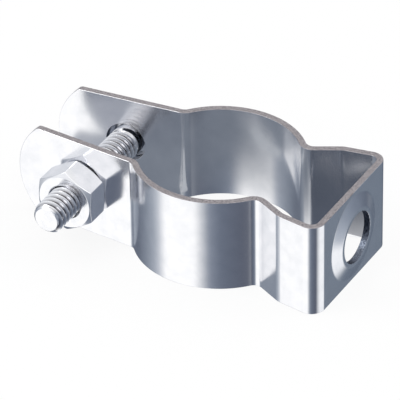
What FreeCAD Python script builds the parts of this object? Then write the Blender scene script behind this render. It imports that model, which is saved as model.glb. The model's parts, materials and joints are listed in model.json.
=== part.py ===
import FreeCAD, Part
import math
import os

# Pipe clip: a folded steel band, a hexagon bolt and a hexagon nut, in millimetres.
# The pipe's axis is +Z, through the origin, and the band stands on its lower edge at Z = 0.
# The ears point to -X, and the mounting base closes the band at +X.
# The bolt lies along Y through both ears, with its head on the +Y side and the nut on the -Y side.

V = FreeCAD.Vector

# Band: the strip, and the round seat for the pipe
SHEET = 1.3
BAND_WIDTH = 19.05
SEAT_RADIUS = 15.2

# Band: the two ears
BOLT_FROM_SEAT = 9.5
EAR_GAP_AT_BOLT = 15.8
EAR_TILT_DEG = 5.0
EAR_BEYOND_BOLT = 14.0
EAR_END_RADIUS = 12.5
EAR_CORNER_RADIUS = 1.2
EAR_HOLE_RADIUS = 4.0

# Band: the legs and the base; the base's width is taken at the unrounded outer corners
BASE_FROM_SEAT = 12.8
BASE_WIDTH = 29.1
LEG_SPLAY_DEG = 9.5
KNEE_TO_BASE = 8.4
FLARE_DEG = 27.7

# Band: the inside radius of each bend
NECK_BEND = 1.6
THROAT_BEND = 1.6
KNEE_BEND = 3.0
CORNER_BEND = 1.4

# Band: the shallow boss pressed outwards round the mounting hole
MOUNT_HOLE_RADIUS = 5.1
BOSS_RADIUS = 8.6
BOSS_HEIGHT = 0.85
BOSS_LAND = 0.8
BOSS_BEND = 1.5

# Bolt: 1/4 inch with 20 threads to the inch, 1 1/4 inch long, with a slotted head
BOLT_RADIUS = 3.175
BOLT_LENGTH = 31.75
PLAIN_NECK = 2.54
THREAD_PITCH = 1.27
THREAD_DEPTH = 0.74
POINT_CHAMFER = 0.7
HEAD_FLATS = 11.11
HEAD_HEIGHT = 4.1
HEAD_FACE_RADIUS = 5.3
SLOT_WIDTH = 1.7
SLOT_DEPTH = 1.8

# Nut: 1/4 inch hexagon, chamfered on both faces
NUT_FLATS = 11.11
NUT_HEIGHT = 5.56
NUT_FACE_RADIUS = 5.35
NUT_COUNTERSINK = 0.35

# Hexagon corners are turned off at this angle to the face
CHAMFER_DEG = 30.0

# Clearances
THREAD_CLEARANCE = 0.05
SEAT_CLEARANCE = 0.05

# What follows from the sizes above
MID_HEIGHT = BAND_WIDTH / 2
BOLT_X = -SEAT_RADIUS - BOLT_FROM_SEAT
BASE_X = SEAT_RADIUS + BASE_FROM_SEAT
EAR_TIP_X = BOLT_X - EAR_BEYOND_BOLT
EAR_SLOPE = math.tan(math.radians(EAR_TILT_DEG))
SHEET_ACROSS_EAR = SHEET / math.cos(math.radians(EAR_TILT_DEG))
HEAD_CORNER_RADIUS = HEAD_FLATS / math.sqrt(3)
NUT_CORNER_RADIUS = NUT_FLATS / math.sqrt(3)


def heading(angle_deg):
    """The unit vector at an angle from +X in the XY plane."""
    angle = math.radians(angle_deg)
    return V(math.cos(angle), math.sin(angle), 0)


def arc_through(points):
    """An arc edge from three points."""
    return Part.Arc(*points).toShape()


def line_through(start, end):
    """A straight edge."""
    return Part.LineSegment(start, end).toShape()


def bend_at_corner(corner, along_in, along_out, radius):
    """The start, middle and end of an arc that rounds a corner between two straight runs."""
    half_turn = along_in.getAngle(along_out) / 2
    inwards = (along_out - along_in).normalize()
    centre = corner + inwards * (radius / math.cos(half_turn))
    reach = radius * math.tan(half_turn)
    return corner - along_in * reach, centre - inwards * radius, corner + along_out * reach


def bend_onto_ring(point, along, radius):
    """The arc outside the ring that takes a straight run, heading for the ring, onto its circle."""
    outwards = V(-along.y, along.x, 0)
    if outwards.y < 0:
        outwards = -outwards
    offset_point = point + outwards * radius
    nearest = offset_point - along * offset_point.dot(along)
    centre = nearest - along * math.sqrt((SEAT_RADIUS + radius) ** 2 - nearest.Length ** 2)
    on_run = centre - outwards * radius
    on_ring = centre * (SEAT_RADIUS / centre.Length)
    towards_arc = ((on_run - centre) + (on_ring - centre)).normalize()
    return on_run, centre + towards_arc * radius, on_ring


def inner_face_half():
    """The +Y half of the sheet's pipe side, seen along Z, as edges from the base to the ear's tip."""
    splay = math.radians(LEG_SPLAY_DEG)
    base_x = BASE_X - SHEET
    leg_inset = SHEET * math.tan(splay) + SHEET / math.cos(splay)
    corner = V(base_x, BASE_WIDTH / 2 - leg_inset, 0)
    up_base = heading(90)
    along_leg = heading(180 + LEG_SPLAY_DEG)
    along_flare = heading(180 + FLARE_DEG)
    along_ear = heading(EAR_TILT_DEG)
    knee = corner - along_leg * ((KNEE_TO_BASE - SHEET) / along_leg.x)
    ear_at_bolt = V(BOLT_X, EAR_GAP_AT_BOLT / 2, 0)
    ear_tip = ear_at_bolt - along_ear * (EAR_BEYOND_BOLT / along_ear.x)

    base_bend = bend_at_corner(corner, up_base, along_leg, CORNER_BEND)
    knee_bend = bend_at_corner(knee, along_leg, along_flare, KNEE_BEND)
    throat_bend = bend_onto_ring(knee, along_flare, THROAT_BEND + SHEET)
    neck_bend = bend_onto_ring(ear_at_bolt, along_ear, NECK_BEND + SHEET)
    return [
        line_through(V(base_x, 0, 0), base_bend[0]),
        arc_through(base_bend),
        line_through(base_bend[2], knee_bend[0]),
        arc_through(knee_bend),
        line_through(knee_bend[2], throat_bend[0]),
        arc_through(throat_bend),
        arc_through((throat_bend[2], V(0, SEAT_RADIUS, 0), neck_bend[2])),
        arc_through(neck_bend),
        line_through(neck_bend[0], ear_tip),
    ]


def folded_strip():
    """The strip as folded, one sheet thick, with square ends and no holes."""
    half = inner_face_half()
    other_half = [edge.mirror(V(0, 0, 0), V(0, 1, 0)) for edge in half]
    pipe_side = Part.Wire(Part.__sortEdges__(half + other_half))
    section = pipe_side.makeOffset2D(SHEET, 0, True, True)
    return section.extrude(V(0, 0, BAND_WIDTH))


def ear_end_outline():
    """A block along Y that keeps the band and rounds both ears' ends."""
    arc_depth = EAR_END_RADIUS - math.sqrt(EAR_END_RADIUS ** 2 - MID_HEIGHT ** 2)
    arc_x = EAR_TIP_X + arc_depth
    far_x = BASE_X + BOSS_HEIGHT + SHEET
    reach = SEAT_RADIUS + BASE_WIDTH
    low_left = V(arc_x, -reach, 0)
    high_left = V(arc_x, -reach, BAND_WIDTH)
    low_right = V(far_x, -reach, 0)
    high_right = V(far_x, -reach, BAND_WIDTH)
    outline = Part.Wire([
        line_through(low_right, low_left),
        arc_through((low_left, V(EAR_TIP_X, -reach, MID_HEIGHT), high_left)),
        line_through(high_left, high_right),
        line_through(high_right, low_right),
    ])
    block = Part.Face(outline).extrude(V(0, 2 * reach, 0))
    corners = [edge for edge in block.Edges if is_along_y_at(edge, arc_x)]
    return block.makeFillet(EAR_CORNER_RADIUS, corners)


def is_along_y_at(edge, x):
    """Whether an edge runs along Y at a given X."""
    box = edge.BoundBox
    return box.YLength > box.XLength + box.ZLength and abs(edge.CenterOfMass.x - x) < SEAT_CLEARANCE


def pressed_boss():
    """The base's boss: a dished disc of the sheet, turned about +X, each bend rounded on its outside."""
    land_radius = MOUNT_HOLE_RADIUS + BOSS_LAND
    rim = V(BASE_X, BOSS_RADIUS + BOSS_BEND, 0)
    foot = V(BASE_X, BOSS_RADIUS, 0)
    shoulder = V(BASE_X + BOSS_HEIGHT, land_radius, 0)
    middle = V(BASE_X + BOSS_HEIGHT, 0, 0)
    inwards = heading(-90)
    slope = (shoulder - foot).normalize()
    foot_bend = bend_at_corner(foot, inwards, slope, BOSS_BEND)
    shoulder_bend = bend_at_corner(shoulder, slope, inwards, BOSS_BEND)
    wall_side = [
        line_through(rim, foot),
        line_through(foot, shoulder_bend[0]),
        arc_through(shoulder_bend),
        line_through(shoulder_bend[2], middle),
    ]
    pipe_side = [
        line_through(rim, foot_bend[0]),
        arc_through(foot_bend),
        line_through(foot_bend[2], shoulder),
        line_through(shoulder, middle),
    ]
    through = V(-SHEET, 0, 0)
    pipe_side = [edge.translated(through) for edge in pipe_side]
    ends = [line_through(rim, rim + through), line_through(middle, middle + through)]
    section = Part.Face(Part.Wire(Part.__sortEdges__(wall_side + pipe_side + ends)))
    return section.revolve(V(0, 0, 0), V(1, 0, 0), 360)


def clip_band():
    """The band: folded, with rounded ear ends, two bolt holes and the bossed mounting hole."""
    across = V(0, 1, 0)
    outwards = V(1, 0, 0)
    reach = SEAT_RADIUS + SHEET
    bolt_way = Part.makeCylinder(EAR_HOLE_RADIUS, 2 * reach, V(BOLT_X, -reach, MID_HEIGHT), across)
    band = folded_strip().common(ear_end_outline()).cut(bolt_way)

    inner_side = V(BASE_X - SHEET, 0, MID_HEIGHT)
    blank_disc = Part.makeCylinder(BOSS_RADIUS + BOSS_BEND, 2 * SHEET, inner_side, outwards)
    strip_corner = V(BASE_X - SHEET, -BASE_WIDTH / 2, 0)
    strip_run = Part.makeBox(SHEET + BOSS_HEIGHT, BASE_WIDTH, BAND_WIDTH, strip_corner)
    boss = pressed_boss().translated(V(0, 0, MID_HEIGHT)).common(strip_run)
    band = band.cut(blank_disc).fuse(boss).removeSplitter()
    mount_hole = Part.makeCylinder(MOUNT_HOLE_RADIUS, 2 * SHEET + BOSS_HEIGHT, inner_side, outwards)
    return band.cut(mount_hole).Solids[0]


def seat_distance(radius):
    """How far from the XZ plane a flat face of this radius, square to the bolt, meets a tilted ear."""
    ear_face = EAR_GAP_AT_BOLT / 2 + SHEET_ACROSS_EAR
    return ear_face + radius * EAR_SLOPE + SEAT_CLEARANCE


def hexagon_bar(flats, height):
    """A hexagonal bar along +Y from the XZ plane, with corners at the top and the bottom."""
    corner_radius = flats / math.sqrt(3)
    corners = []
    for step in range(7):
        angle = math.radians(90 + 60 * step)
        corners.append(V(corner_radius * math.cos(angle), 0, corner_radius * math.sin(angle)))
    return Part.Face(Part.makePolygon(corners)).extrude(V(0, height, 0))


def turned_blank(profile):
    """A solid turned about the Y axis from its half section, given as (radius, y) points."""
    points = [V(radius, y, 0) for radius, y in profile]
    return Part.Face(Part.makePolygon(points + [points[0]])).revolve(V(0, 0, 0), V(0, 1, 0), 360)


def chamfer_blank(face_radius, corner_radius, height, both_faces):
    """A turned blank that takes the corners off a hexagon's end face, or off both."""
    rim = corner_radius + POINT_CHAMFER
    drop = (rim - face_radius) * math.tan(math.radians(CHAMFER_DEG))
    near_side = [(0, 0), (face_radius, 0), (rim, drop)] if both_faces else [(0, 0), (rim, 0)]
    return turned_blank(near_side + [(rim, height - drop), (face_radius, height), (0, height)])


def threaded_shank():
    """The shank, along -Y from the head's seat, with its thread drawn as sharp rings a pitch apart."""
    root_radius = BOLT_RADIUS - THREAD_DEPTH
    profile = [(0, 0), (BOLT_RADIUS, 0), (BOLT_RADIUS, -PLAIN_NECK)]
    for ring in range(math.ceil((BOLT_LENGTH - PLAIN_NECK) / THREAD_PITCH)):
        start_y = -PLAIN_NECK - ring * THREAD_PITCH
        profile += [(root_radius, start_y - THREAD_PITCH / 2), (BOLT_RADIUS, start_y - THREAD_PITCH)]
    profile.append((0, start_y - THREAD_PITCH))
    point_blank = turned_blank([
        (0, 0),
        (BOLT_RADIUS + POINT_CHAMFER, 0),
        (BOLT_RADIUS + POINT_CHAMFER, 2 * POINT_CHAMFER - BOLT_LENGTH),
        (BOLT_RADIUS - POINT_CHAMFER, -BOLT_LENGTH),
        (0, -BOLT_LENGTH),
    ])
    return turned_blank(profile).common(point_blank)


def clamp_bolt():
    """The bolt, drawn with its head at the far ear and its point beyond the nut."""
    head = hexagon_bar(HEAD_FLATS, HEAD_HEIGHT)
    head = head.common(chamfer_blank(HEAD_FACE_RADIUS, HEAD_CORNER_RADIUS, HEAD_HEIGHT, False))
    slot_corner = V(-HEAD_FLATS, HEAD_HEIGHT - SLOT_DEPTH, -SLOT_WIDTH / 2)
    slot = Part.makeBox(2 * HEAD_FLATS, 2 * SLOT_DEPTH, SLOT_WIDTH, slot_corner)
    bolt = head.cut(slot).fuse(threaded_shank()).removeSplitter()
    bolt.translate(V(BOLT_X, seat_distance(HEAD_CORNER_RADIUS), MID_HEIGHT))
    return bolt.Solids[0]


def clamp_nut():
    """The nut, against the near ear, with a countersunk bore that clears the bolt's thread."""
    bore = BOLT_RADIUS + THREAD_CLEARANCE
    mouth = bore + NUT_COUNTERSINK
    body = hexagon_bar(NUT_FLATS, NUT_HEIGHT)
    body = body.common(chamfer_blank(NUT_FACE_RADIUS, NUT_CORNER_RADIUS, NUT_HEIGHT, True))
    way = turned_blank([
        (0, 0),
        (mouth, 0),
        (bore, NUT_COUNTERSINK),
        (bore, NUT_HEIGHT - NUT_COUNTERSINK),
        (mouth, NUT_HEIGHT),
        (0, NUT_HEIGHT),
    ])
    nut = body.cut(way)
    nut.translate(V(BOLT_X, -seat_distance(NUT_FACE_RADIUS) - NUT_HEIGHT, MID_HEIGHT))
    return nut.Solids[0]


def main():
    """Build each piece and write it to its own STEP file."""
    os.makedirs("parts", exist_ok=True)
    pieces = {
        "clip_band": clip_band(),
        "clamp_bolt": clamp_bolt(),
        "clamp_nut": clamp_nut(),
    }
    for name, shape in pieces.items():
        shape.exportStep(f"parts/{name}.step")
        print(name, shape.isValid(), round(shape.Volume, 1), shape.BoundBox)


main()
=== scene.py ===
"""A pipe clip of bright zinc-plated steel: a folded band drawn together by a bolt and a nut.

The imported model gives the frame. Each piece is modelled here in millimetres, on the same places,
and brought to metres when it is finished. The pipe's axis is +Z through the origin, the ears point
to -X, the mounting base closes the band at +X, and the bolt lies along Y.
"""
import json
import logging
import math
from contextlib import contextmanager
from dataclasses import dataclass, field
from enum import Enum
from typing import Any, Callable, Iterator, Optional

import bmesh
import bpy
from mathutils import Matrix, Vector


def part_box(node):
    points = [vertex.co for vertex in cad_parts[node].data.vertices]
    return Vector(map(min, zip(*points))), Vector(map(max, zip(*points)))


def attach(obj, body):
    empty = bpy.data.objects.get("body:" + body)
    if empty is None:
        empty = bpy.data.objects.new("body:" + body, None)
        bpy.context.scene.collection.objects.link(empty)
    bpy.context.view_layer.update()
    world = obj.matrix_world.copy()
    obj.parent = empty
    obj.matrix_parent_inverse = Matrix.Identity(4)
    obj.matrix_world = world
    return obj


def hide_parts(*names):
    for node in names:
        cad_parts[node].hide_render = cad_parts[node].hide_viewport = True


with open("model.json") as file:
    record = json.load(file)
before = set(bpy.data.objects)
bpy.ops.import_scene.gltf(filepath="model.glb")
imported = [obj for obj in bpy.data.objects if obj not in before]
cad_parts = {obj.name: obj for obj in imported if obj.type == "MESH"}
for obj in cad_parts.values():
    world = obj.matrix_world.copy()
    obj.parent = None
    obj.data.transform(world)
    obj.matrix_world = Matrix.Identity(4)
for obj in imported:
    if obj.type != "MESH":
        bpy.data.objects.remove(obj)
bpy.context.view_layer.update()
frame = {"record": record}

MM = 0.001
FULL_TURN = 2 * math.pi

# Vertices this near, in millimetres, are one, and what is selected by its place lies within the second
MERGE_MM = 0.002
FIND_MM = 0.02

# How far a cutting tool, or what is cut off again, reaches past the piece, in millimetres
SPARE_MM = 1.0

# Faces that turn by less than the first lie in one plane, and by less than the second are shaded smooth
FLAT_WITHIN_DEG = 0.2
SMOOTH_UNDER_DEG = 32.0

# A face lies along an axis below the first share of its normal, and across it above the second
LIES_ALONG = 0.5
LIES_ACROSS = 0.7

# How strong each finer layer of a noise is beside the one before it
FINER_SHARE = 0.55

log = logging.getLogger("pipe_clip")

Point = tuple[float, float]
Test = Callable[[Any], bool]


class Axis(Enum):
    """The axis that a turned piece is turned about, with the direction of its radius."""

    ALONG_X = ((1.0, 0.0, 0.0), (0.0, 1.0, 0.0))
    ALONG_Y = ((0.0, 1.0, 0.0), (1.0, 0.0, 0.0))

    def place(self, radius: float, along: float) -> Vector:
        """The point of a half section at a radius and a place along the axis."""
        axis, outwards = self.value
        return Vector(axis) * along + Vector(outwards) * radius


class Cut(Enum):
    """What a cutting tool does to a piece."""

    TAKE_AWAY = "DIFFERENCE"
    KEEP_COMMON = "INTERSECT"
    ADD = "UNION"


# Modelling steps


def start_clean() -> None:
    """Leave edit mode and deselect everything."""
    if bpy.context.mode != "OBJECT":
        bpy.ops.object.mode_set(mode="OBJECT")
    bpy.ops.object.select_all(action="DESELECT")


def work_on(piece: bpy.types.Object) -> None:
    """Make one object the only one selected, and active."""
    start_clean()
    piece.select_set(True)
    bpy.context.view_layer.objects.active = piece


@contextmanager
def editing(piece: bpy.types.Object) -> Iterator[None]:
    """Work on one object in edit mode, and go back to object mode."""
    work_on(piece)
    bpy.ops.object.mode_set(mode="EDIT")
    yield
    bpy.ops.object.mode_set(mode="OBJECT")


def named(name: str) -> bpy.types.Object:
    """Name the object that an operator has just added, and its mesh.

    Args:
        name: The name for both.

    Returns:
        The object.
    """
    piece = bpy.context.active_object
    piece.name = name
    piece.data.name = name
    return piece


def pick(piece: bpy.types.Object, kind: str, test: Test) -> int:
    """Select, in edit mode, the vertices, edges or faces that pass a test, and nothing else.

    Args:
        piece: The object in edit mode.
        kind: "VERT", "EDGE" or "FACE".
        test: Says whether one of them is wanted.

    Returns:
        How many were selected.
    """
    bpy.ops.mesh.select_mode(type=kind)
    bpy.ops.mesh.select_all(action="DESELECT")
    mesh = bmesh.from_edit_mesh(piece.data)
    kinds = {"VERT": mesh.verts, "EDGE": mesh.edges, "FACE": mesh.faces}
    wanted = [item for item in kinds[kind] if test(item)]
    for item in wanted:
        item.select_set(True)
    mesh.select_flush_mode()
    bmesh.update_edit_mesh(piece.data)
    return len(wanted)


def middle_of(edge: Any) -> Vector:
    """The middle of an edge."""
    return (edge.verts[0].co + edge.verts[1].co) / 2


def merge_doubled() -> None:
    """Merge doubled vertices in edit mode, and leave everything selected."""
    bpy.ops.mesh.select_all(action="SELECT")
    bpy.ops.mesh.remove_doubles(threshold=MERGE_MM)
    bpy.ops.mesh.select_all(action="SELECT")


def close_up() -> None:
    """Merge doubled vertices and turn the faces outwards, in edit mode."""
    merge_doubled()
    bpy.ops.mesh.normals_make_consistent(inside=False)


def drawn_line(name: str, points: list[Vector]) -> bpy.types.Object:
    """A line of edges, drawn by extruding one vertex from point to point.

    Args:
        name: The new object's name.
        points: The points of the line, in millimetres.

    Returns:
        The object, left in edit mode with everything selected.
    """
    start_clean()
    bpy.ops.mesh.primitive_plane_add(size=1.0)
    piece = named(name)
    bpy.ops.object.mode_set(mode="EDIT")
    bpy.ops.mesh.select_mode(type="VERT")
    bpy.ops.mesh.select_all(action="SELECT")
    bpy.ops.mesh.merge(type="CENTER")
    bpy.ops.transform.translate(value=points[0])
    for here, there in zip(points, points[1:]):
        bpy.ops.mesh.extrude_vertices_move(TRANSFORM_OT_translate={"value": there - here})
    bpy.ops.mesh.select_all(action="SELECT")
    return piece


def turned(name: str, axis: Axis, section: list[Point], segments: int) -> bpy.types.Object:
    """A turned shape, from its half section.

    Args:
        name: The new object's name.
        axis: The axis it is turned about, through the origin.
        section: The (radius, along) points of the half section, in millimetres.
        segments: How many facets go round.

    Returns:
        The object, back in object mode.
    """
    piece = drawn_line(name, [axis.place(radius, along) for radius, along in section])
    bpy.ops.mesh.spin(steps=segments, angle=FULL_TURN, center=(0, 0, 0), axis=axis.value[0])
    close_up()
    bpy.ops.object.mode_set(mode="OBJECT")
    return piece


def moved(piece: bpy.types.Object, offset: Vector) -> bpy.types.Object:
    """Move an object and take the place into its mesh."""
    work_on(piece)
    piece.location = offset
    bpy.ops.object.transform_apply(location=True, rotation=True, scale=True)
    return piece


def cut(piece: bpy.types.Object, tool: bpy.types.Object, how: Cut) -> None:
    """Cut a piece with a tool, which is used up.

    Args:
        piece: The object that is cut.
        tool: The closed object that cuts it.
        how: Whether the tool's space is taken away, kept or added.
    """
    work_on(piece)
    modifier = piece.modifiers.new("cut", "BOOLEAN")
    modifier.operation = how.value
    modifier.solver = "EXACT"
    modifier.object = tool
    bpy.ops.object.modifier_apply(modifier=modifier.name)
    mesh = tool.data
    bpy.data.objects.remove(tool)
    bpy.data.meshes.remove(mesh)


def modify(piece: bpy.types.Object, kind: str, **settings: Any) -> None:
    """Add one modifier with its settings and apply it."""
    work_on(piece)
    modifier = piece.modifiers.new(kind.lower(), kind)
    for name, value in settings.items():
        setattr(modifier, name, value)
    bpy.ops.object.modifier_apply(modifier=modifier.name)


def clean_flats(piece: bpy.types.Object) -> None:
    """Merge what the cuts left doubled, and join faces that lie in one plane."""
    with editing(piece):
        merge_doubled()
        bpy.ops.mesh.dissolve_limited(angle_limit=math.radians(FLAT_WITHIN_DEG))


def soften(piece: bpy.types.Object, width: float, segments: int, over_deg: float) -> None:
    """Round the edges that turn by more than an angle.

    Args:
        piece: The object.
        width: How far the rounding reaches from each edge, in millimetres.
        segments: The facets across the rounding.
        over_deg: The turn, in degrees, past which an edge is rounded.
    """
    modify(
        piece,
        "BEVEL",
        width=width,
        segments=segments,
        limit_method="ANGLE",
        angle_limit=math.radians(over_deg),
        use_clamp_overlap=True,
        miter_outer="MITER_ARC",
    )


def finish_piece(piece: bpy.types.Object, body: str, node: str) -> None:
    """Clear a finished piece of slivers, shade it, bring it to metres and put it in its node's place.

    Args:
        piece: The object, in millimetres at the origin.
        body: The body of the frame that it rides on.
        node: The node of the frame that it stands for.
    """
    with editing(piece):
        merge_doubled()
        bpy.ops.mesh.dissolve_degenerate(threshold=MERGE_MM)
    bpy.ops.object.shade_smooth_by_angle(angle=math.radians(SMOOTH_UNDER_DEG))
    modify(piece, "WEIGHTED_NORMAL", mode="FACE_AREA", weight=100, keep_sharp=True)
    piece.scale = (MM, MM, MM)
    bpy.ops.object.transform_apply(location=True, rotation=True, scale=True)
    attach(piece, body)
    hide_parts(node)
    log.info("%s: %d faces, rides on %s", piece.name, len(piece.data.polygons), body)


# Finishes


def linear(hex_colour: str) -> tuple[float, float, float, float]:
    """The linear colour of an sRGB hex value such as "#c0c4cc"."""
    channels = [int(hex_colour[i:i + 2], 16) / 255 for i in (1, 3, 5)]
    straight = [c / 12.92 if c <= 0.04045 else ((c + 0.055) / 1.055) ** 2.4 for c in channels]
    return (*straight, 1.0)


def add_node(
    tree: bpy.types.NodeTree,
    kind: str,
    settings: Optional[dict[str, Any]] = None,
    inputs: Optional[dict[Any, Any]] = None,
) -> bpy.types.Node:
    """Add a node with its settings, values and links.

    Args:
        tree: The node tree.
        kind: The node's type, such as "ShaderNodeBump".
        settings: Properties of the node.
        inputs: Values or output sockets, by the name or number of the input.

    Returns:
        The node.
    """
    node = tree.nodes.new(kind)
    for name, value in (settings or {}).items():
        setattr(node, name, value)
    for key, value in (inputs or {}).items():
        if isinstance(value, bpy.types.NodeSocket):
            tree.links.new(value, node.inputs[key])
        else:
            node.inputs[key].default_value = value
    return node


def empty_tree(owner: Any) -> bpy.types.NodeTree:
    """Turn on the nodes of a material or a world, and empty them."""
    owner.use_nodes = True
    owner.node_tree.nodes.clear()
    return owner.node_tree


class Finish:
    """A finish with a name of its own, whose surface each kind of finish builds from nodes."""

    name: str

    def surface(self, tree: bpy.types.NodeTree) -> bpy.types.NodeSocket:
        """Build the surface's nodes and give its shader."""
        raise NotImplementedError


def dress(piece: bpy.types.Object, *finishes: Finish) -> None:
    """Give an object a material for each of its finishes, in place of any it has."""
    piece.data.materials.clear()
    for finish in finishes:
        material = bpy.data.materials.new(finish.name)
        tree = empty_tree(material)
        add_node(tree, "ShaderNodeOutputMaterial", inputs={"Surface": finish.surface(tree)})
        piece.data.materials.append(material)


def pattern(
    tree: bpy.types.NodeTree, size_mm: tuple[float, float, float], detail: float
) -> bpy.types.NodeSocket:
    """Noise whose grains have a real size along X, Y and Z, from 0 to 1.

    Args:
        tree: The node tree.
        size_mm: The grain's size along each axis, in millimetres.
        detail: How many finer layers the noise has.

    Returns:
        The noise's value.
    """
    place = add_node(tree, "ShaderNodeTexCoord")
    scale = Vector([1 / (size * MM) for size in size_mm])
    spread = add_node(
        tree,
        "ShaderNodeMapping",
        {"vector_type": "POINT"},
        {"Vector": place.outputs["Object"], "Scale": scale},
    )
    noise = add_node(
        tree,
        "ShaderNodeTexNoise",
        inputs={
            "Vector": spread.outputs["Vector"],
            "Scale": 1.0,
            "Detail": detail,
            "Roughness": FINER_SHARE,
        },
    )
    return noise.outputs["Fac"]


@dataclass(frozen=True)
class ThreadRootPaintedShade:
    """Where a thread's roots lie on a bolt along Y, in millimetres.

    The roots are painted darker than the crests: painted shade, where the thread's hollows fall in shade.
    """

    axis_x: float
    axis_z: float
    root_radius: float
    clear_radius: float
    start_y: float
    end_y: float
    # The colour of the painted shade at the roots
    colour: str = "#57545a"
    strength: float = 0.92

    def share(self, tree: bpy.types.NodeTree) -> bpy.types.NodeSocket:
        """How much of the painted shade shows: none at the crests, and its full strength at the roots."""
        place = add_node(tree, "ShaderNodeTexCoord").outputs["Object"]
        to_origin = Vector((-self.axis_x, 0.0, -self.axis_z)) * MM
        from_axis = add_node(
            tree,
            "ShaderNodeVectorMath",
            {"operation": "MULTIPLY_ADD"},
            {0: place, 1: (1.0, 0.0, 1.0), 2: to_origin},
        ).outputs["Vector"]
        radius = add_node(
            tree, "ShaderNodeVectorMath", {"operation": "LENGTH"}, {0: from_axis}
        ).outputs["Value"]
        depth = add_node(
            tree,
            "ShaderNodeMapRange",
            inputs={
                "Value": radius,
                1: self.root_radius * MM,
                2: self.clear_radius * MM,
                3: self.strength,
                4: 0.0,
            },
        ).outputs["Result"]
        along = add_node(tree, "ShaderNodeSeparateXYZ", inputs={"Vector": place}).outputs["Y"]
        middle = (self.start_y + self.end_y) / 2
        half = abs(self.end_y - self.start_y) / 2
        in_thread = add_node(
            tree, "ShaderNodeMath", {"operation": "COMPARE"}, {0: along, 1: middle * MM, 2: half * MM}
        ).outputs[0]
        return add_node(
            tree, "ShaderNodeMath", {"operation": "MULTIPLY"}, {0: depth, 1: in_thread}
        ).outputs[0]


@dataclass(frozen=True)
class ZincPlate(Finish):
    """Bright zinc plate on rolled steel: a cool, nearly mirror-bright metal.

    The plate follows the rolled sheet under it, so its reflections run in faint streaks and
    waver a little, and thin cloudy patches of chromate make it duller here and there.
    """

    name: str
    light: str = "#f8f8fa"
    cloud: str = "#eeeff2"
    roughness: tuple[float, float] = (0.14, 0.19)
    cloudy_between: tuple[float, float] = (0.35, 0.7)
    cloud_mm: float = 3.2
    streak_mm: tuple[float, float, float] = (1.4, 1.4, 40.0)
    grain_mm: tuple[float, float, float] = (6.0, 6.0, 0.16)
    waver: float = 0.18
    waver_mm: float = 0.02
    grain: float = 0.4
    grain_depth_mm: float = 0.0006
    # Painted shade in a thread's roots, where the piece has a thread
    painted_root_shade: Optional[ThreadRootPaintedShade] = None

    def surface(self, tree: bpy.types.NodeTree) -> bpy.types.NodeSocket:
        """Metal with cloudy patches, streaks and grain."""
        clouds = pattern(tree, (self.cloud_mm,) * 3, 4.0)
        streaks = pattern(tree, self.streak_mm, 3.0)
        grain = pattern(tree, self.grain_mm, 2.0)
        low, high = self.cloudy_between
        patch = add_node(
            tree, "ShaderNodeMapRange", inputs={"Value": clouds, 1: low, 2: high}
        ).outputs["Result"]
        colour = add_node(
            tree,
            "ShaderNodeMix",
            {"data_type": "RGBA"},
            {0: patch, 6: linear(self.light), 7: linear(self.cloud)},
        ).outputs[2]
        # Painted shade darkens the thread's roots
        if self.painted_root_shade:
            colour = add_node(
                tree,
                "ShaderNodeMix",
                {"data_type": "RGBA"},
                {0: self.painted_root_shade.share(tree), 6: colour, 7: linear(self.painted_root_shade.colour)},
            ).outputs[2]
        dull = add_node(
            tree,
            "ShaderNodeMapRange",
            inputs={"Value": clouds, 3: self.roughness[0], 4: self.roughness[1]},
        )
        wavy = add_node(
            tree,
            "ShaderNodeBump",
            inputs={"Strength": self.waver, "Distance": self.waver_mm * MM, "Height": streaks},
        )
        lined = add_node(
            tree,
            "ShaderNodeBump",
            inputs={
                "Strength": self.grain,
                "Distance": self.grain_depth_mm * MM,
                "Height": grain,
                "Normal": wavy.outputs["Normal"],
            },
        )
        return add_node(
            tree,
            "ShaderNodeBsdfPrincipled",
            inputs={
                "Base Color": colour,
                "Metallic": 1.0,
                "Roughness": dull.outputs["Result"],
                "Normal": lined.outputs["Normal"],
            },
        ).outputs["BSDF"]


@dataclass(frozen=True)
class ShearedEdge(Finish):
    """The strip's cut edge: torn steel under a thin plate, warm grey, dull and finely scored."""

    name: str = "sheared_zinc_edge"
    light: str = "#b1abad"
    dark: str = "#787376"
    roughness: float = 0.36
    scored_between: tuple[float, float] = (0.38, 0.62)
    score_mm: tuple[float, float, float] = (0.25, 0.25, 0.9)
    score_depth_mm: float = 0.02
    scoring: float = 0.5

    def surface(self, tree: bpy.types.NodeTree) -> bpy.types.NodeSocket:
        """Dull metal of two greys, scored through the sheet."""
        scores = pattern(tree, self.score_mm, 3.0)
        low, high = self.scored_between
        tone = add_node(
            tree, "ShaderNodeMapRange", inputs={"Value": scores, 1: low, 2: high}
        ).outputs["Result"]
        colour = add_node(
            tree,
            "ShaderNodeMix",
            {"data_type": "RGBA"},
            {0: tone, 6: linear(self.dark), 7: linear(self.light)},
        )
        rough = add_node(
            tree,
            "ShaderNodeBump",
            inputs={"Strength": self.scoring, "Distance": self.score_depth_mm * MM, "Height": scores},
        )
        return add_node(
            tree,
            "ShaderNodeBsdfPrincipled",
            inputs={
                "Base Color": colour.outputs[2],
                "Metallic": 1.0,
                "Roughness": self.roughness,
                "Normal": rough.outputs["Normal"],
            },
        ).outputs["BSDF"]


def hole_wall_painted_shade_finish() -> ShearedEdge:
    """The wall of a pierced hole: the same torn steel, but dark with painted shade, as shade falls in the
    hole.
    """
    return ShearedEdge("pierced_hole_wall", light="#747b88", dark="#3d434f", roughness=0.3)


# The band


class Surface(Enum):
    """The band's surfaces, by the number of the material that each takes."""

    ROLLED = 0
    SHEARED = 1
    PIERCED = 2


@dataclass(frozen=True)
class Bend:
    """One arc of the folded strip, seen along Z: its centre, how far it turns, and where it ends."""

    centre: Vector
    turn: float
    end: Vector


def heading(angle_deg: float) -> Vector:
    """The unit vector at an angle from +X in the XY plane."""
    angle = math.radians(angle_deg)
    return Vector((math.cos(angle), math.sin(angle), 0.0))


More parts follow.
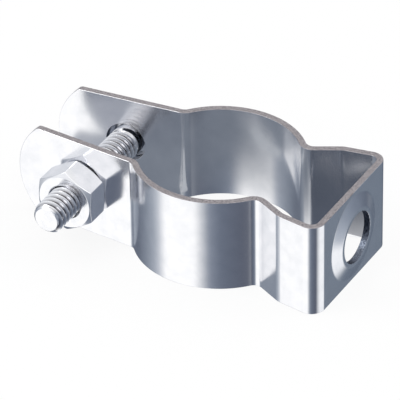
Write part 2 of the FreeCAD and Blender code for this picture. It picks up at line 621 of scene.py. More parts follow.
def bend_at_corner(
    corner: Vector, along_in: Vector, along_out: Vector, radius: float
) -> tuple[Vector, Bend]:
    """The arc that rounds a corner between two straight runs.

    Args:
        corner: Where the two runs would meet.
        along_in: The direction of the first run.
        along_out: The direction of the second run.
        radius: The arc's radius.

    Returns:
        The arc's start, and the arc.
    """
    turn = along_in.angle(along_out)
    side = 1.0 if along_in.cross(along_out).z > 0 else -1.0
    reach = radius * math.tan(turn / 2)
    start = corner - along_in * reach
    centre = start + Vector((-along_in.y, along_in.x, 0.0)) * radius * side
    return start, Bend(centre, turn * side, corner + along_out * reach)


@dataclass
class ClipBand:
    """The folded band, made from one strip of sheet: ears, ring, legs and a bossed base.

    Sizes are in millimetres. The seat's radius and the band's width come from the pipe's mount, the
    bolt's place from the imported bolt, and the mounting hole from its own mount.
    """

    seat_radius: float
    width: float
    bolt_x: float
    mount_radius: float
    sheet: float = 1.3
    ear_gap_at_bolt: float = 15.8
    ear_tilt_deg: float = 5.0
    ear_beyond_bolt: float = 14.0
    ear_end_radius: float = 12.5
    ear_corner_reach: float = 0.44
    ear_hole_radius: float = 4.0
    base_from_seat: float = 12.8
    base_width: float = 29.1
    leg_splay_deg: float = 9.5
    knee_to_base: float = 8.4
    flare_deg: float = 27.7
    neck_bend: float = 1.6
    throat_bend: float = 1.6
    knee_bend: float = 3.0
    corner_bend: float = 1.4
    boss_radius: float = 8.6
    boss_height: float = 0.85
    boss_land: float = 0.8
    boss_bend: float = 1.5
    boss_rim: float = 9.15
    edge_rounding: float = 0.2
    edge_rounding_steps: int = 3
    rounded_over_deg: float = 40.0
    ear_corner_steps: int = 4
    ring_steps: int = 44
    bend_steps: int = 12
    boss_bend_steps: int = 4
    boss_segments: int = 96
    hole_segments: int = 64
    ear_end_segments: int = 180

    @property
    def base_x(self) -> float:
        """The base's outer face."""
        return self.seat_radius + self.base_from_seat

    @property
    def ear_tip_x(self) -> float:
        """The ears' tips."""
        return self.bolt_x - self.ear_beyond_bolt

    @property
    def middle(self) -> float:
        """Half way up the band."""
        return self.width / 2

    def bend_onto_ring(self, point: Vector, along: Vector, radius: float) -> Bend:
        """The arc outside the ring that takes a straight run, heading for the ring, onto its circle."""
        outwards = Vector((-along.y, along.x, 0.0))
        if outwards.y < 0:
            outwards = -outwards
        offset = point + outwards * radius
        nearest = offset - along * offset.dot(along)
        reach = math.sqrt((self.seat_radius + radius) ** 2 - nearest.length ** 2)
        centre = nearest - along * reach
        on_run = centre - outwards * radius
        on_ring = centre * (self.seat_radius / centre.length)
        turn = (on_run - centre).angle(on_ring - centre)
        return Bend(centre, turn, on_run)

    def strip_surface(self) -> bpy.types.Object:
        """The pipe side of the +Y half of the strip, folded from the base to the ear's tip."""
        splay = math.radians(self.leg_splay_deg)
        inset = self.sheet * math.tan(splay) + self.sheet / math.cos(splay)
        inner_x = self.base_x - self.sheet
        corner = Vector((inner_x, self.base_width / 2 - inset, 0.0))
        along_leg = heading(180 + self.leg_splay_deg)
        along_flare = heading(180 + self.flare_deg)
        along_ear = heading(self.ear_tilt_deg)
        knee = corner - along_leg * ((self.knee_to_base - self.sheet) / along_leg.x)
        ear_at_bolt = Vector((self.bolt_x, self.ear_gap_at_bolt / 2, 0.0))
        ear_tip = ear_at_bolt - along_ear * ((self.ear_beyond_bolt + SPARE_MM) / along_ear.x)

        corner_start, corner_bend = bend_at_corner(corner, heading(90), along_leg, self.corner_bend)
        knee_start, knee_bend = bend_at_corner(knee, along_leg, along_flare, self.knee_bend)
        throat = self.bend_onto_ring(knee, along_flare, self.throat_bend + self.sheet)
        neck = self.bend_onto_ring(ear_at_bolt, along_ear, self.neck_bend + self.sheet)
        ring_start = throat.centre * (self.seat_radius / throat.centre.length)
        ring_end = neck.centre * (self.seat_radius / neck.centre.length)

        start_clean()
        bpy.ops.mesh.primitive_plane_add(size=1.0, rotation=(0, math.pi / 2, 0))
        piece = named("clip_band_steel")
        piece.scale = (self.width, corner_start.y, 1.0)
        piece.location = (inner_x, corner_start.y / 2, self.middle)
        bpy.ops.object.transform_apply(location=True, rotation=True, scale=True)
        with editing(piece):
            pick(piece, "EDGE", lambda edge: middle_of(edge).y > corner_start.y - MERGE_MM)
            self.fold(corner_bend.centre, corner_bend.turn, self.bend_steps)
            self.run(knee_start - corner_bend.end)
            self.fold(knee_bend.centre, knee_bend.turn, self.bend_steps // 2)
            self.run(throat.end - knee_bend.end)
            self.fold(throat.centre, -throat.turn, self.bend_steps)
            self.fold(Vector(), ring_start.angle(ring_end), self.ring_steps)
            self.fold(neck.centre, -neck.turn, self.bend_steps)
            self.run(ear_tip - neck.end)
            close_up()
        return piece

    def fold(self, centre: Vector, turn: float, steps: int) -> None:
        """Spin the selected edge about a line along Z, anticlockwise where the turn is positive."""
        bpy.ops.mesh.spin(steps=steps, angle=-turn, center=centre, axis=(0, 0, 1))

    def run(self, offset: Vector) -> None:
        """Extrude the selected edge in a straight line."""
        bpy.ops.mesh.extrude_region_move(TRANSFORM_OT_translate={"value": offset})

    def ear_end_tool(self) -> bpy.types.Object:
        """What is cut away beyond the ears' round ends."""
        reach = self.seat_radius + self.sheet
        centre_x = self.ear_tip_x + self.ear_end_radius
        start_clean()
        bpy.ops.mesh.primitive_cube_add(size=1.0)
        tool = named("ear_end_tool")
        tool.scale = (self.ear_end_radius, 2 * reach, 2 * self.width)
        moved(tool, Vector((centre_x - self.ear_end_radius, 0, self.middle)))
        bpy.ops.mesh.primitive_cylinder_add(
            vertices=self.ear_end_segments,
            radius=self.ear_end_radius,
            depth=3 * reach,
            location=(centre_x, 0, self.middle),
            rotation=(math.pi / 2, 0, 0),
        )
        cut(tool, named("round_end"), Cut.TAKE_AWAY)
        return tool

    def rod(
        self, radius: float, segments: int, reach: float, place: Vector, axis: Axis
    ) -> bpy.types.Object:
        """A rod that cuts a round hole.

        Args:
            radius: The hole's radius.
            segments: How many facets go round.
            reach: How far the rod goes each way from its place.
            place: The rod's middle.
            axis: The axis that the rod lies along.

        Returns:
            The rod.
        """
        section = [(0.0, -reach), (radius, -reach), (radius, reach), (0.0, reach)]
        return moved(turned("hole_tool", axis, section, segments), place)

    def boss_section(self) -> list[Point]:
        """The boss's (radius, along X) section: in along its outer side, and out along its inner one."""
        land = self.mount_radius + self.boss_land
        foot = Vector((self.boss_radius, 0.0, 0.0))
        shoulder = Vector((land, self.boss_height, 0.0))
        slope = (shoulder - foot).normalized()
        inwards = Vector((-1.0, 0.0, 0.0))
        outer = [(self.boss_rim, self.base_x)]
        for corner, before, after in ((foot, inwards, slope), (shoulder, slope, inwards)):
            start, bend = bend_at_corner(corner, before, after, self.boss_bend)
            arm = start - bend.centre
            for step in range(self.boss_bend_steps + 1):
                turned_by = bend.turn * step / self.boss_bend_steps
                place = bend.centre + Matrix.Rotation(turned_by, 3, "Z") @ arm
                outer.append((place.x, self.base_x + place.y))
        outer.append((self.mount_radius, self.base_x + self.boss_height))
        inner = [(radius, along - self.sheet) for radius, along in reversed(outer)]
        return outer + inner

    def pressed_boss(self) -> bpy.types.Object:
        """The boss, as a turned skin that is open at its rim."""
        piece = drawn_line("boss", [Axis.ALONG_X.place(*point) for point in self.boss_section()])
        bpy.ops.mesh.spin(steps=self.boss_segments, angle=FULL_TURN, center=(0, 0, 0), axis=(1, 0, 0))
        close_up()
        bpy.ops.object.mode_set(mode="OBJECT")
        return moved(piece, Vector((0, 0, self.middle)))

    def is_boss_opening_wall(self, face: Any) -> bool:
        """Whether a face is a part of the round wall that cutting out the boss's place leaves."""
        from_axis = [math.hypot(vertex.co.y, vertex.co.z - self.middle) for vertex in face.verts]
        at_rim = all(abs(radius - self.boss_rim) < FIND_MM for radius in from_axis)
        return at_rim and abs(face.normal.x) < LIES_ALONG

    def fit_boss(self, piece: bpy.types.Object) -> None:
        """Open the base for the boss and sew the boss in."""
        centre = Vector((self.base_x, 0, self.middle))
        opening = self.rod(self.boss_rim, self.boss_segments, 2 * self.sheet, centre, Axis.ALONG_X)
        cut(piece, opening, Cut.TAKE_AWAY)
        boss = self.pressed_boss()
        with editing(piece):
            pick(piece, "FACE", self.is_boss_opening_wall)
            bpy.ops.mesh.delete(type="FACE")
        boss.select_set(True)
        bpy.ops.object.join()
        with editing(piece):
            close_up()

    def surface_of(self, face: Any) -> int:
        """Which of the band's finishes a face takes: rolled sheet, sheared edge or pierced hole.

        Args:
            face: A face of the band, in millimetres.

        Returns:
            The number of the material.
        """
        centre = face.center
        normal = face.normal
        from_mount = math.hypot(centre.y, centre.z - self.middle)
        if centre.x > self.base_x - 2 * self.sheet and from_mount < self.boss_rim:
            in_hole = abs(normal.x) < LIES_ALONG and from_mount < self.mount_radius + self.sheet / 2
            return Surface.PIERCED.value if in_hole else Surface.ROLLED.value
        from_bolt = math.hypot(centre.x - self.bolt_x, centre.z - self.middle)
        if centre.x < -self.seat_radius and abs(normal.y) < LIES_ALONG:
            in_hole = from_bolt < self.ear_hole_radius + self.sheet / 2
            return Surface.PIERCED.value if in_hole else Surface.SHEARED.value
        return Surface.SHEARED.value if abs(normal.z) > LIES_ACROSS else Surface.ROLLED.value

    def folded_strip(self) -> bpy.types.Object:
        """The whole strip, folded, mirrored and one sheet thick, with square ends and no holes."""
        piece = self.strip_surface()
        modify(piece, "MIRROR", use_axis=(False, True, False), use_clip=True, merge_threshold=MERGE_MM)
        with editing(piece):
            close_up()
            mesh = bmesh.from_edit_mesh(piece.data)
            base = max(mesh.faces, key=lambda face: face.calc_center_median().x)
            if base.normal.x < 0:
                bpy.ops.mesh.flip_normals()
        modify(piece, "SOLIDIFY", thickness=self.sheet, offset=1.0, use_even_offset=True)
        return piece

    def build(self) -> bpy.types.Object:
        """Fold, pierce, trim, boss, dress and soften the band."""
        piece = self.folded_strip()
        bolt_line = Vector((self.bolt_x, 0, self.middle))
        reach = 2 * self.seat_radius
        bolt_way = self.rod(self.ear_hole_radius, self.hole_segments, reach, bolt_line, Axis.ALONG_Y)
        cut(piece, bolt_way, Cut.TAKE_AWAY)
        cut(piece, self.ear_end_tool(), Cut.TAKE_AWAY)
        self.fit_boss(piece)
        clean_flats(piece)
        self.round_ear_corners(piece)
        # The third finish puts painted shade on the holes' walls
        dress(piece, ZincPlate("bright_zinc_strip"), ShearedEdge(), hole_wall_painted_shade_finish())
        for face in piece.data.polygons:
            face.material_index = self.surface_of(face)
        soften(piece, self.edge_rounding, self.edge_rounding_steps, self.rounded_over_deg)
        finish_piece(piece, "band", "clip_band")
        return piece

    def round_ear_corners(self, piece: bpy.types.Object) -> None:
        """Round the four corners where each ear's straight edges meet its round end."""
        drop = self.ear_end_radius - math.sqrt(self.ear_end_radius ** 2 - self.middle ** 2)
        corner_x = self.ear_tip_x + drop

        def is_corner(edge: Any) -> bool:
            """Whether an edge runs through the sheet at one of the corners."""
            middle = middle_of(edge)
            across = abs(edge.verts[0].co.z - edge.verts[1].co.z) < MERGE_MM
            at_rim = min(middle.z, self.width - middle.z) < MERGE_MM
            long = abs(edge.verts[0].co.y - edge.verts[1].co.y) > self.sheet / 2
            return across and at_rim and long and abs(middle.x - corner_x) < self.sheet / 2

        with editing(piece):
            pick(piece, "EDGE", is_corner)
            bpy.ops.mesh.bevel(
                offset=self.ear_corner_reach, offset_type="OFFSET", segments=self.ear_corner_steps
            )


# Bolt and nut


@dataclass(frozen=True)
class Thread:
    """A rolled 1/4 inch thread, 20 to the inch, in millimetres."""

    major_radius: float = 3.15
    pitch: float = 1.27
    depth: float = 0.74
    crest: float = 0.16
    root: float = 0.30
    steps: int = 40
    spare_turns: int = 3

    @property
    def root_radius(self) -> float:
        """From the axis to the bottom of the thread."""
        return self.major_radius - self.depth

    def section(self, grow: float) -> list[Point]:
        """One pitch of the thread's profile as (radius, along) points, grown outwards by a clearance."""
        top = self.major_radius + grow
        low = top - self.depth
        flank = (self.pitch - self.crest - self.root) / 2
        return [
            (low, 0.0),
            (low, self.root),
            (top, self.root + flank),
            (top, self.root + flank + self.crest),
            (low, self.pitch),
        ]

    def rod(self, name: str, start: float, end: float, grow: float = 0.0) -> bpy.types.Object:
        """A closed threaded rod along Y, right-handed: turned longer than it is and cut flat at its ends.

        Args:
            name: The new object's name.
            start: Its lower end along Y.
            end: Its upper end along Y.
            grow: How much larger its radius is than the thread's.

        Returns:
            The rod.
        """
        turns = math.ceil((end - start) / self.pitch) + self.spare_turns
        first = (math.floor(start / self.pitch) - 1) * self.pitch
        points = [Axis.ALONG_Y.place(radius, first + along) for radius, along in self.section(grow)]
        piece = drawn_line(name, points)
        bpy.ops.object.mode_set(mode="OBJECT")
        modify(
            piece,
            "SCREW",
            axis="Y",
            angle=FULL_TURN,
            screw_offset=self.pitch,
            iterations=turns,
            steps=self.steps,
            render_steps=self.steps,
            use_merge_vertices=True,
            merge_threshold=MERGE_MM,
        )
        with editing(piece):
            close_up()
            for place, clear in ((start, "clear_inner"), (end, "clear_outer")):
                bpy.ops.mesh.select_all(action="SELECT")
                bpy.ops.mesh.bisect(
                    plane_co=(0, place, 0),
                    plane_no=(0, 1, 0),
                    use_fill=True,
                    threshold=MERGE_MM / 10,
                    **{clear: True},
                )
            close_up()
        return piece


@dataclass
class HexagonPiece:
    """What the bolt and the nut share, in millimetres: hexagon bar, its turned corners and the thread."""

    flats: float = 11.11
    bar_rounding: float = 0.18
    bar_rounding_steps: int = 3
    edge_rounding: float = 0.1
    edge_rounding_steps: int = 2
    rounded_over_deg: float = 22.0
    chamfer_deg: float = 30.0
    turn_segments: int = 96
    axis_x: float = 0.0
    axis_z: float = 0.0
    thread: Thread = field(default_factory=Thread)

    @property
    def corner_radius(self) -> float:
        """From the axis to a corner."""
        return self.flats / math.sqrt(3)

    def bar(self, name: str, height: float) -> bpy.types.Object:
        """A hexagon bar along +Y from the XZ plane, corners up and down, with its long edges rounded."""
        start_clean()
        bpy.ops.mesh.primitive_cylinder_add(
            vertices=6,
            radius=self.corner_radius,
            depth=height,
            location=(0, height / 2, 0),
            rotation=(math.pi / 2, 0, 0),
        )
        piece = named(name)
        bpy.ops.object.transform_apply(location=True, rotation=True, scale=True)
        with editing(piece):
            pick(piece, "EDGE", lambda edge: abs(edge.verts[0].co.y - edge.verts[1].co.y) > height / 2)
            bpy.ops.mesh.bevel(offset=self.bar_rounding, segments=self.bar_rounding_steps)
        return piece

    def corners_off(self, piece: bpy.types.Object, face_radius: float, height: float, both: bool) -> None:
        """Turn the bar's corners off at its far face, or at both."""
        rim = self.corner_radius + SPARE_MM
        drop = (rim - face_radius) * math.tan(math.radians(self.chamfer_deg))
        near = [(0.0, 0.0), (face_radius, 0.0), (rim, drop)] if both else [(0.0, 0.0), (rim, 0.0)]
        section = near + [(rim, height - drop), (face_radius, height), (0.0, height)]
        cut(piece, turned("corner_tool", Axis.ALONG_Y, section, self.turn_segments), Cut.KEEP_COMMON)


@dataclass
class ClampBolt(HexagonPiece):
    """The 1/4 inch bolt: a slotted hexagon head at the far ear, and a rolled thread to its point."""

    head_seat: float = 0.0
    length: float = 31.75
    plain_length: float = 2.2
    plain_radius: float = 3.1
    point_radius: float = 2.35
    point_length: float = 0.75
    head_height: float = 4.1
    head_face_radius: float = 5.3
    slot_width: float = 1.7
    slot_depth: float = 1.8
    head_overlap: float = 0.3
    root_shade: float = 0.15

    def head(self) -> bpy.types.Object:
        """The slotted head, standing on the XZ plane."""
        piece = self.bar("bolt_head", self.head_height)
        self.corners_off(piece, self.head_face_radius, self.head_height, both=False)
        start_clean()
        bpy.ops.mesh.primitive_cube_add(size=1.0)
        slot = named("slot_tool")
        slot.scale = (3 * self.flats, 2 * self.slot_depth, self.slot_width)
        moved(slot, Vector((0, self.head_height, 0)))
        cut(piece, slot, Cut.TAKE_AWAY)
        clean_flats(piece)
        soften(piece, self.edge_rounding, self.edge_rounding_steps, self.rounded_over_deg)
        return piece

    def shank(self) -> bpy.types.Object:
        """The threaded shank, from just inside the head to the turned-down point."""
        piece = self.thread.rod("bolt_thread", -self.length, -self.plain_length)
        wide = self.thread.major_radius + SPARE_MM
        steepness = self.point_length / (self.thread.major_radius - self.point_radius)
        point = [
            (0.0, -self.length),
            (self.point_radius, -self.length),
            (wide, -self.length + (wide - self.point_radius) * steepness),
            (wide, 0.0),
            (0.0, 0.0),
        ]
        cut(piece, turned("point_tool", Axis.ALONG_Y, point, self.turn_segments), Cut.KEEP_COMMON)
        neck_end = -self.plain_length - self.thread.pitch
        neck = [
            (0.0, self.head_overlap),
            (self.plain_radius, self.head_overlap),
            (self.plain_radius, -self.plain_length),
            (self.thread.root_radius, neck_end),
            (0.0, neck_end),
        ]
        cut(piece, turned("plain_neck", Axis.ALONG_Y, neck, self.turn_segments), Cut.ADD)
        return piece

    def painted_root_shade(self) -> ThreadRootPaintedShade:
        """The painted shade in the thread's roots, once the bolt is in its place."""
        shade_depth = self.root_shade * self.thread.depth
        return ThreadRootPaintedShade(
            self.axis_x,
            self.axis_z,
            root_radius=self.thread.root_radius + shade_depth,
            clear_radius=self.thread.major_radius - shade_depth,
            start_y=self.head_seat - self.plain_length,
            end_y=self.head_seat - self.length + self.point_length / 2,
        )

    def build(self) -> bpy.types.Object:
        """Join the head and the shank, and place the bolt through both ears."""
        piece = self.head()
        cut(piece, self.shank(), Cut.ADD)
        piece.name = "clamp_bolt_zinc"
        piece.data.name = piece.name
        moved(piece, Vector((self.axis_x, self.head_seat, self.axis_z)))
        dress(piece, bolt_finish(self.painted_root_shade()))
        finish_piece(piece, "bolt", "clamp_bolt")
        return piece


@dataclass
class ClampNut(HexagonPiece):
    """The 1/4 inch nut at the near ear, chamfered on both faces, with its own thread inside."""

    front: float = 0.0
    bolt_seat: float = 0.0
    height: float = 5.56
    face_radius: float = 5.35
    bore_radius: float = 2.52
    mouth_radius: float = 3.5
    mouth_depth: float = 0.9
    thread_clearance: float = 0.06

    def build(self) -> bpy.types.Object:
        """Cut the nut from hexagon bar, tap it and place it on the bolt."""
        piece = self.bar("clamp_nut_zinc", self.height)
        self.corners_off(piece, self.face_radius, self.height, both=True)
        way = [
            (0.0, -SPARE_MM),
            (self.mouth_radius, -SPARE_MM),
            (self.mouth_radius, 0.0),
            (self.bore_radius, self.mouth_depth),
            (self.bore_radius, self.height - self.mouth_depth),
            (self.mouth_radius, self.height),
            (self.mouth_radius, self.height + SPARE_MM),
            (0.0, self.height + SPARE_MM),
        ]
        cut(piece, turned("bore_tool", Axis.ALONG_Y, way, self.turn_segments), Cut.TAKE_AWAY)
        clean_flats(piece)
        soften(piece, self.edge_rounding, self.edge_rounding_steps, self.rounded_over_deg)
        front_from_head = self.front - self.bolt_seat
        moved(piece, Vector((0, front_from_head, 0)))
        tap = self.thread.rod(
            "tap",
            front_from_head - self.thread.pitch,
            front_from_head + self.height + self.thread.pitch,
            self.thread_clearance,
        )
        cut(piece, tap, Cut.TAKE_AWAY)
        moved(piece, Vector((self.axis_x, self.bolt_seat, self.axis_z)))
        dress(piece, nut_finish())
        finish_piece(piece, "nut", "clamp_nut")
        return piece


def bolt_finish(painted_root_shade: ThreadRootPaintedShade) -> ZincPlate:
    """Zinc on a rolled thread and a headed blank, finer in its marks than the strip, with painted shade in
    the thread's roots.
    """
    return ZincPlate(
        "bright_zinc_bolt",
        cloud_mm=1.6,
        streak_mm=(0.9, 0.9, 0.9),
        grain_mm=(0.3, 0.3, 0.3),
        painted_root_shade=painted_root_shade,
    )


def nut_finish() -> ZincPlate:
    """Zinc on a pressed hexagon nut, with fine turning and pressing marks."""
    return ZincPlate("bright_zinc_nut", cloud_mm=2.0, streak_mm=(1.2, 1.2, 1.2), grain_mm=(0.3, 4.0, 0.3))


# Studio


def seen_white(tree: bpy.types.NodeTree) -> bpy.types.NodeSocket:
    """One for what the camera, a reflection or a clear material sees, and nought for the light."""
    path = add_node(tree, "ShaderNodeLightPath")
    seen = path.outputs["Is Camera Ray"]
    for name in ("Is Glossy Ray", "Is Transmission Ray"):
        seen = add_node(
            tree, "ShaderNodeMath", {"operation": "MAXIMUM"}, {0: seen, 1: path.outputs[name]}
        ).outputs[0]
    return seen


@dataclass(frozen=True)
class Tone:
    """What bright metal sees at one heading round the part, in degrees from +X towards +Y."""

    heading_deg: float
    colour: str

    @property
    def place(self) -> float:
        """Where the tone stands on a ramp that goes once round."""
        return (self.heading_deg + 180.0) / 360.0


@dataclass(frozen=True)
class PaintedShadeAndLight(Finish):
    """A glowing patch on the floor, as the metal above it sees it, cut to an outline in millimetres:
    painted shade where the band shades the floor, and painted light at lighter places.

    It lies flat and shows in reflections alone. A patch may be full at one place and thin out
    round it, so that the metal sees more and more of the surround through it.
    """

    name: str
    outline: tuple[Point, ...]
    colour: str
    lift: float = 0.02
    full_at: Optional[Point] = None
    gone_after: float = 25.0

    def surface(self, tree: bpy.types.NodeTree) -> bpy.types.NodeSocket:
        """A flat glow of the patch's colour, which thins out if the patch does."""
        glow = add_node(
            tree, "ShaderNodeEmission", inputs={"Color": linear(self.colour), "Strength": 1.0}
        ).outputs["Emission"]
        if not self.full_at:
            return glow
        place = add_node(tree, "ShaderNodeTexCoord").outputs["Object"]
        from_full = add_node(
            tree,
            "ShaderNodeMapping",
            {"vector_type": "TEXTURE"},
            {
                "Vector": place,
                "Location": Vector((*self.full_at, self.lift)) * MM,
                "Scale": Vector((self.gone_after,) * 3) * MM,
            },
        ).outputs["Vector"]
        apart = add_node(
            tree, "ShaderNodeVectorMath", {"operation": "DOT_PRODUCT"}, {0: from_full, 1: from_full}
        ).outputs["Value"]
        share = add_node(
            tree, "ShaderNodeMapRange", inputs={"Value": apart, 3: 1.0, 4: 0.0}
        ).outputs["Result"]
        clear = add_node(tree, "ShaderNodeBsdfTransparent").outputs["BSDF"]
        return add_node(tree, "ShaderNodeMixShader", inputs={0: share, 1: clear, 2: glow}).outputs[0]

    def build(self) -> None:
        """Cut the patch and lay it down, for reflections only."""
        patch = drawn_line(self.name, [Vector((x, y, self.lift)) for x, y in self.outline])
        bpy.ops.mesh.edge_face_add()
        bpy.ops.object.mode_set(mode="OBJECT")
        patch.scale = (MM, MM, MM)
        bpy.ops.object.transform_apply(location=True, rotation=True, scale=True)
        dress(patch, self)
        for use in ("camera", "diffuse", "shadow", "transmission"):
            setattr(patch, f"visible_{use}", False)


def round_outline(radius: float, corners: int = 48) -> tuple[Point, ...]:
    """The outline of a round patch about the pipe's axis."""
    angles = [FULL_TURN * step / corners for step in range(corners)]
    return tuple((radius * math.cos(angle), radius * math.sin(angle)) for angle in angles)


def mirrored(points: list[Point]) -> tuple[Point, ...]:
    """An outline with these points on one side of the XZ plane and their mirror images on the other."""
    return tuple(points + [(x, -y) for x, y in reversed(points)])


@dataclass(frozen=True)
class PaleFloor(Finish):
    """A plain pale floor that the camera sees as nearly white, with the part's shadow."""

    name: str = "pale_floor"
    size: float = 3.0
    colour: str = "#f2f2f2"
    seen_as_white: float = 0.88

    def surface(self, tree: bpy.types.NodeTree) -> bpy.types.NodeSocket:
        """Matt for the light, and nearly all white for what looks at it."""
        matt = add_node(
            tree, "ShaderNodeBsdfDiffuse", inputs={"Color": linear(self.colour)}
        ).outputs["BSDF"]
        white = add_node(
            tree, "ShaderNodeEmission", inputs={"Color": (1, 1, 1, 1), "Strength": 1.0}
        ).outputs["Emission"]
        share = add_node(
            tree, "ShaderNodeMath", {"operation": "MULTIPLY"}, {0: seen_white(tree), 1: self.seen_as_white}
        ).outputs[0]
        return add_node(tree, "ShaderNodeMixShader", inputs={0: share, 1: matt, 2: white}).outputs[0]

    def build(self) -> None:
        """Lay the floor, which reflections leave out."""
        start_clean()
        bpy.ops.mesh.primitive_plane_add(size=self.size)
        floor = named("studio_floor")
        dress(floor, self)
        floor.visible_glossy = False


@dataclass(frozen=True)
class SoftBox:
    """A square soft box that faces the part, in metres and watts."""

    name: str
    place: tuple[float, float, float]
    size: float
    power: float

    def build(self) -> None:
        """Hang the lamp."""
        data = bpy.data.lights.new(self.name, "AREA")
        data.shape = "SQUARE"
        data.size = self.size
        data.energy = self.power
        lamp = bpy.data.objects.new(self.name, data)
        bpy.context.scene.collection.objects.link(lamp)
        place = Vector(self.place)
        lamp.location = place
        lamp.rotation_euler = (-place).to_track_quat("-Z", "Y").to_euler()


@dataclass
class Studio:
    """A pale floor, soft boxes, and a surround that the camera sees as white.

    What the metal sees of the surround has tones. Low down they are white in front of the ears and
    beyond the base, and dark between and behind, which gives each upright bend of the band its light
    and dark stripes. Above them stand the walls, which only tilted faces see, and white is overhead.
    Painted shade and painted light on the floor, where the metal sees it inside the clip, are laid down as
    glowing patches.
    """

    band: ClipBand
    floor: PaleFloor = PaleFloor()
    surround_light: float = 0.9
    lamps: tuple[SoftBox, ...] = (
        SoftBox("key_soft_box", (-0.35, -0.3, 0.5), 0.4, 1.2),
        SoftBox("fill_soft_box", (0.4, 0.25, 0.45), 0.35, 0.5),
    )
    screens: tuple[Tone, ...] = (
        Tone(-180, "#767e8b"),
        Tone(-158, "#9aa1ac"),
        Tone(-150, "#b8bdc6"),
        Tone(-138, "#ffffff"),
        Tone(-96, "#ffffff"),
        Tone(-76, "#7f8795"),
        Tone(-62, "#656d7c"),
        Tone(-27, "#535866"),
        Tone(-10, "#c6c9ce"),
        Tone(8, "#f2f3f5"),
        Tone(40, "#eef0f3"),
        Tone(58, "#717b88"),
        Tone(68, "#646e7c"),
        Tone(120, "#5f6674"),
        Tone(164, "#636a78"),
        Tone(180, "#767e8b"),
    )
    walls: tuple[Tone, ...] = (
        Tone(-180, "#8a919d"),
        Tone(-140, "#e8eaed"),
        Tone(-100, "#dfe1e5"),
        Tone(-60, "#7a8290"),
        Tone(-20, "#8a919d"),
        Tone(16, "#c0c6d0"),
        Tone(36, "#818a98"),
        Tone(70, "#5c6473"),
        Tone(124, "#e8eaed"),
        Tone(180, "#8a919d"),
    )
    overhead: str = "#ffffff"
    walls_between: tuple[float, float] = (-0.5, -0.4)
    overhead_between: tuple[float, float] = (0.2, 0.8)
    screen_light: float = 1.12
    shade_past_bolt: float = 7.5
    shade_to_neck: float = 0.8
    shade_from_throat: Point = (0.9, 0.6)
    tips_light: tuple[Point, ...] = ((-40.0, -6.8), (-29.0, -7.2), (-29.0, 7.2), (-40.0, 6.8))
    neck_light: tuple[Point, ...] = ((-13.8, 7.4), (-10.6, 7.4), (-7.6, -7.0), (-11.0, -7.0))
    light_lift: float = 0.04

    def shade_between_ears(self, ring: float) -> tuple[Point, ...]:
        """The outline of the shade between the ears, from beyond the bolt to under the neck."""
        band = self.band
        slope = math.tan(math.radians(band.ear_tilt_deg))
        bolt_y = (band.ear_gap_at_bolt + band.sheet) / 2
        ends = (band.bolt_x - self.shade_past_bolt, -ring * self.shade_to_neck)
        return mirrored([(x, bolt_y + (x - band.bolt_x) * slope) for x in ends])

    def shade_inside_base(self, ring: float) -> tuple[Point, ...]:
        """The outline of the shade between the legs, from the throat to the base."""
        band = self.band
        at_throat = tuple(ring * share for share in self.shade_from_throat)
        at_base = (band.base_x - band.sheet / 2, band.base_width / 2 - band.sheet)
        return mirrored([at_throat, at_base])

    def patches(self) -> list[PaintedShadeAndLight]:
        """Painted shade where the band shades the floor, and two places of painted light in it."""
        ring = self.band.seat_radius + self.band.sheet / 2
        ears = self.shade_between_ears(ring)
        base = self.shade_inside_base(ring)
        return [
            PaintedShadeAndLight("shade_inside_ring", round_outline(ring), "#757c87", full_at=(0.0, -ring / 2)),
            PaintedShadeAndLight("shade_between_ears", ears, "#7b828d"),
            PaintedShadeAndLight("shade_inside_base", base, "#505662", full_at=(20.0, -6.0), gone_after=31.0),
            PaintedShadeAndLight("light_between_tips", self.tips_light, "#a9adb6", self.light_lift),
            PaintedShadeAndLight("light_at_neck", self.neck_light, "#b4b8be", self.light_lift),
        ]

    def tones_round(
        self, tree: bpy.types.NodeTree, share_round: bpy.types.NodeSocket, tones: tuple[Tone, ...]
    ) -> bpy.types.NodeSocket:
        """The colour of a row of tones at a heading, given as a share of a whole turn."""
        node = add_node(tree, "ShaderNodeValToRGB", inputs={"Fac": share_round})
        stripe = node.color_ramp
        while len(stripe.elements) < len(tones):
            stripe.elements.new(0.5)
        for element, tone in zip(stripe.elements, tones):
            element.position = tone.place
            element.color = linear(tone.colour)
        return node.outputs["Color"]

    def reflected_screens(self, tree: bpy.types.NodeTree) -> bpy.types.NodeSocket:
        """What metal sees all round: the low screens, the walls above them, and white overhead."""
        place = add_node(tree, "ShaderNodeNewGeometry").outputs["Position"]
        toward = add_node(tree, "ShaderNodeSeparateXYZ", inputs={"Vector": place}).outputs
        turn = add_node(
            tree, "ShaderNodeMath", {"operation": "ARCTAN2"}, {0: toward["Y"], 1: toward["X"]}
        ).outputs[0]
        share_round = add_node(
            tree, "ShaderNodeMapRange", inputs={"Value": turn, 1: -math.pi, 2: math.pi}
        ).outputs["Result"]
        colour = self.tones_round(tree, share_round, self.screens)
        higher = (
            (self.walls_between, self.tones_round(tree, share_round, self.walls)),
            (self.overhead_between, linear(self.overhead)),
        )
        for (low, high), above in higher:
            share = add_node(
                tree, "ShaderNodeMapRange", inputs={"Value": toward["Z"], 1: low, 2: high}
            ).outputs["Result"]
            colour = add_node(
                tree, "ShaderNodeMix", {"data_type": "RGBA"}, {0: share, 6: colour, 7: above}
            ).outputs[2]
        return colour

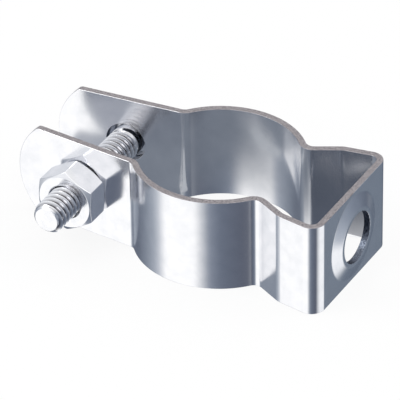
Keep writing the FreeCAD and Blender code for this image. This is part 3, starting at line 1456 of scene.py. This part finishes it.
    def build_surround(self) -> None:
        """The world: white to the camera, tones to the metal, and a plain soft light everywhere."""
        world = bpy.data.worlds.new("white_surround")
        bpy.context.scene.world = world
        tree = empty_tree(world)
        path = add_node(tree, "ShaderNodeLightPath")
        strength = add_node(
            tree,
            "ShaderNodeMapRange",
            inputs={"Value": seen_white(tree), 3: self.surround_light, 4: 1.0},
        ).outputs["Result"]
        white = add_node(
            tree, "ShaderNodeBackground", inputs={"Color": (1, 1, 1, 1), "Strength": strength}
        )
        screens = add_node(
            tree,
            "ShaderNodeBackground",
            inputs={"Color": self.reflected_screens(tree), "Strength": self.screen_light},
        )
        both = add_node(
            tree,
            "ShaderNodeMixShader",
            inputs={0: path.outputs["Is Glossy Ray"], 1: white.outputs[0], 2: screens.outputs[0]},
        )
        add_node(tree, "ShaderNodeOutputWorld", inputs={"Surface": both.outputs[0]})

    def build(self) -> None:
        """Set up the floor, the surround, the lamps and the floor's patches."""
        self.floor.build()
        self.build_surround()
        for item in (*self.lamps, *self.patches()):
            item.build()


@dataclass
class PhotoCamera:
    """The camera, at the photograph's viewing angle, found by matching the clip's edges."""

    azimuth_deg: float = 29.33
    elevation_deg: float = 33.91
    roll_deg: float = -0.8
    distance_mm: float = 900.0
    pixels_per_mm: float = 5.3297
    picture_pixels: float = 400.0
    aim_right_mm: float = 3.825
    aim_up_mm: float = -7.252
    sensor_mm: float = 36.0
    clip_mm: tuple[float, float] = (10.0, 10000.0)

    def build(self) -> None:
        """Make the camera and look through it."""
        azimuth = math.radians(self.azimuth_deg)
        elevation = math.radians(self.elevation_deg)
        back = Vector((
            math.sin(azimuth) * math.cos(elevation),
            -math.cos(azimuth) * math.cos(elevation),
            math.sin(elevation),
        ))
        level = Vector((math.cos(azimuth), math.sin(azimuth), 0.0))
        upright = back.cross(level)
        roll = math.radians(self.roll_deg)
        right = level * math.cos(roll) + upright * math.sin(roll)
        up = upright * math.cos(roll) - level * math.sin(roll)
        place = back * self.distance_mm - right * self.aim_right_mm - up * self.aim_up_mm

        data = bpy.data.cameras.new("photo_camera")
        data.sensor_width = self.sensor_mm
        data.lens = self.sensor_mm * self.pixels_per_mm * self.distance_mm / self.picture_pixels
        camera = bpy.data.objects.new("photo_camera", data)
        bpy.context.scene.collection.objects.link(camera)
        turned_to = Matrix((right, up, back)).transposed().to_4x4()
        camera.matrix_world = Matrix.Translation(place * MM) @ turned_to
        data.clip_start, data.clip_end = (distance * MM for distance in self.clip_mm)
        bpy.context.scene.camera = camera


def mount_sizes(record: dict[str, Any], name: str) -> dict[str, float]:
    """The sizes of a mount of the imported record, in millimetres."""
    return next(item["dims"] for item in record["mounts"] if item["name"] == name)


def main() -> None:
    """Build the pieces on the frame, then the studio round them."""
    logging.basicConfig(level=logging.INFO, format="%(name)s: %(message)s")
    record = frame["record"]
    seat = mount_sizes(record, "pipe_seat")
    hole = mount_sizes(record, "base_hole")
    bolt_low, bolt_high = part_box("clamp_bolt")
    nut_low, nut_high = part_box("clamp_nut")
    axis_x = (bolt_low.x + bolt_high.x) / 2 / MM
    axis_z = (bolt_low.z + bolt_high.z) / 2 / MM

    band = ClipBand(
        seat_radius=seat["r_mm"],
        width=seat["length_mm"],
        bolt_x=axis_x,
        mount_radius=hole["r_mm"],
    )
    band.build()

    bolt = ClampBolt(axis_x=axis_x, axis_z=axis_z)
    bolt.head_seat = bolt_high.y / MM - bolt.head_height
    bolt.build()

    nut = ClampNut(axis_x=axis_x, axis_z=axis_z, front=nut_low.y / MM, bolt_seat=bolt.head_seat)
    nut.build()

    Studio(band).build()
    PhotoCamera().build()
    view = bpy.context.scene.view_settings
    view.view_transform = "Standard"


if __name__ == "__main__":
    main()
